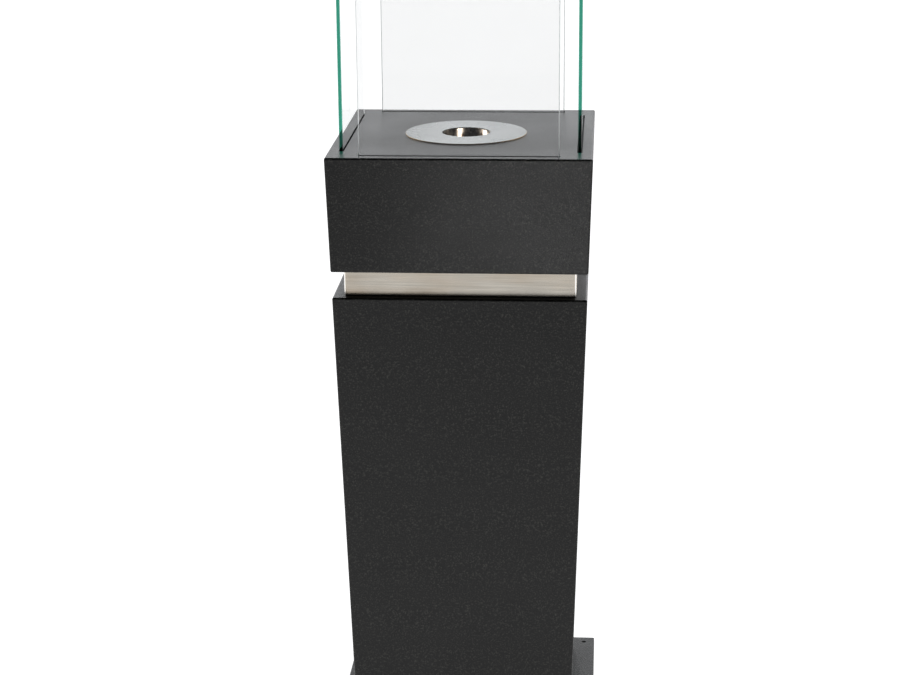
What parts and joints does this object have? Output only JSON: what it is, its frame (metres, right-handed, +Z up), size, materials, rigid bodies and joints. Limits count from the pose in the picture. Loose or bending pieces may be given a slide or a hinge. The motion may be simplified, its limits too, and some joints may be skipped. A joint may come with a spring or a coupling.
{
  "type": "bioethanol fireplace",
  "caption": "Free-standing bioethanol fireplace: tapered black column and cap with a recessed steel neck, a round lift-out burner and loose glass panes round the flame.",
  "frame": {"origin": "middle of the base plate's underside, on the floor", "axes": "+Z up, -Y towards the front, +X to the right as seen from the front"},
  "size_m": [0.364, 0.364, 1.125],
  "materials": {
    "black_powder_coat": "fine-textured satin powder coat",
    "brushed_stainless": "horizontally brushed",
    "stainless_fasteners": "plain",
    "burner_stainless": "brushed",
    "burner_inner_steel": "heat-darkened, semi-bright",
    "ceramic_wool": "matt felted fibre",
    "clear_glass": "clear toughened, ground edges",
    "black_silicone": "matt",
    "zinc_plated_steel": "zinc plated"
  },
  "bodies": {
    "stand": {"base_plate": "black_powder_coat", "column_shell": "black_powder_coat", "cap_shell": "black_powder_coat", "cap_floor": "black_powder_coat", "neck_core": "black_powder_coat", "column_weld_nuts": "zinc_plated_steel", "base_screws": "zinc_plated_steel", "neck_weld_nuts": "zinc_plated_steel", "neck_lower_washers": "zinc_plated_steel", "neck_lower_bolts": "zinc_plated_steel", "neck_upper_washers": "zinc_plated_steel", "neck_upper_bolts": "zinc_plated_steel", "cap_floor_weld_nuts": "zinc_plated_steel", "cap_floor_screws": "zinc_plated_steel", "cap_flange_weld_nuts": "zinc_plated_steel", "cap_weld_studs": "zinc_plated_steel", "cap_stud_nuts": "zinc_plated_steel", "neck_band": "brushed_stainless", "neck_band_screws": "stainless_fasteners", "burner_well": "zinc_plated_steel", "glass_channel_front": "black_powder_coat", "glass_cushion_front": "black_silicone", "glass_channel_right": "black_powder_coat", "glass_cushion_right": "black_silicone", "glass_channel_back": "black_powder_coat", "glass_cushion_back": "black_silicone", "glass_channel_left": "black_powder_coat", "glass_cushion_left": "black_silicone"},
    "burner": {"burner_ring": "burner_stainless", "burner_throat": "burner_inner_steel", "burner_tank": "burner_stainless", "burner_mesh": "burner_inner_steel", "burner_wool": "ceramic_wool"},
    "glass_front": {"glass_panel_front": "clear_glass"},
    "glass_right": {"glass_panel_right": "clear_glass"},
    "glass_back": {"glass_panel_back": "clear_glass"},
    "glass_left": {"glass_panel_left": "clear_glass"}
  },
  "joints": [
    {"name": "burner_lift", "type": "slide", "parent": "stand", "child": "burner", "axis": [0, 0, 1], "range_m": [0, 0.1]},
    {"name": "glass_front_lift", "type": "slide", "parent": "stand", "child": "glass_front", "axis": [0, 0, 1], "range_m": [0, 0.04]},
    {"name": "glass_right_lift", "type": "slide", "parent": "stand", "child": "glass_right", "axis": [0, 0, 1], "range_m": [0, 0.04]},
    {"name": "glass_back_lift", "type": "slide", "parent": "stand", "child": "glass_back", "axis": [0, 0, 1], "range_m": [0, 0.04]},
    {"name": "glass_left_lift", "type": "slide", "parent": "stand", "child": "glass_left", "axis": [0, 0, 1], "range_m": [0, 0.04]}
  ]
}
